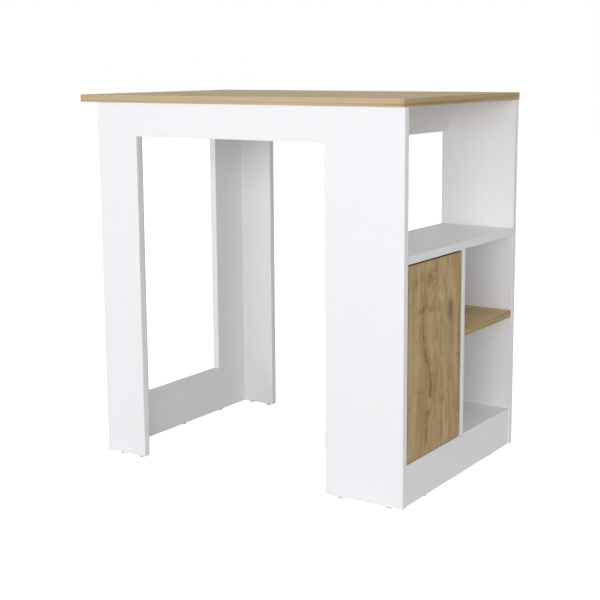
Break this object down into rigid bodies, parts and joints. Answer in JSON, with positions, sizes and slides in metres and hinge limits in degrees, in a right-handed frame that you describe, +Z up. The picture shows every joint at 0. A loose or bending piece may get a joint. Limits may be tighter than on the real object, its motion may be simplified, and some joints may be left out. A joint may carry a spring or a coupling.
{
  "type": "kitchen island",
  "caption": "Bar-height kitchen island: oak-look worktop on a white board frame with open knee space, and an end cabinet with an inset push-open door and open bays.",
  "frame": {"origin": "on the floor under the middle of the worktop", "axes": "+Z up, +X towards the cabinet end with the door, -Y towards the closed long front"},
  "size_m": [0.9, 0.6, 0.9],
  "materials": {
    "oak_worktop": "satin oak-look laminate, straight grain along the length",
    "oak_door": "satin oak-look laminate, upright rustic grain with knots",
    "oak_shelf": "satin oak-look laminate",
    "white_board": "white melamine with a fine satin texture",
    "white_hardboard": "white painted hardboard",
    "beech_dowel": "raw beech",
    "zinc_steel": "zinc-plated steel",
    "nickel_steel": "nickel-plated pressed steel",
    "cast_zinc": "tumbled zinc casting",
    "white_plastic": "moulded white plastic",
    "grey_plastic": "moulded grey plastic",
    "glide_plastic": "moulded pale grey plastic"
  },
  "bodies": {
    "carcass": {"worktop": "oak_worktop", "front_left_leg": "white_board", "rear_left_leg": "white_board", "front_end_panel": "white_board", "rear_end_panel": "white_board", "left_lower_rail": "white_board", "left_upper_rail": "white_board", "front_apron": "white_board", "rear_apron": "white_board", "front_side_panel": "white_board", "rear_side_panel": "white_board", "mid_shelf": "white_board", "cabinet_bottom": "white_board", "cabinet_divider": "white_board", "plinth": "white_board", "cabinet_top_rail": "white_board", "cabinet_back": "white_hardboard", "bay_shelf": "oak_shelf", "floor_glides": "glide_plastic", "wooden_dowels": "beech_dowel", "cam_bolts": "zinc_steel", "cam_locks": "cast_zinc", "worktop_brackets": "white_plastic", "bracket_screws": "zinc_steel", "back_nails": "zinc_steel", "shelf_pins": "zinc_steel", "lower_hinge_arm": "nickel_steel", "lower_hinge_plate": "cast_zinc", "upper_hinge_arm": "nickel_steel", "upper_hinge_plate": "cast_zinc", "plate_screws": "zinc_steel", "arm_screws": "zinc_steel", "latch_holder": "white_plastic", "latch_screws": "zinc_steel"},
    "door": {"door": "oak_door", "lower_hinge_cup": "nickel_steel", "lower_hinge_pin": "nickel_steel", "upper_hinge_cup": "nickel_steel", "upper_hinge_pin": "nickel_steel", "cup_screws": "zinc_steel", "strike_plate": "zinc_steel"},
    "plunger": {"latch_plunger": "grey_plastic"}
  },
  "joints": [
    {"name": "door_hinge", "type": "hinge", "parent": "carcass", "child": "door", "pos_m": [0.441, -0.2505, 0.3225], "axis": [0, 0, -1], "range_deg": [0, 105]},
    {"name": "latch_slide", "type": "slide", "parent": "carcass", "child": "plunger", "axis": [1, 0, 0], "range_m": [0, 0.014]}
  ],
  "couplings": [
    {"joint": "latch_slide", "follows": "door_hinge", "m_per_rad": 0.007639}
  ]
}
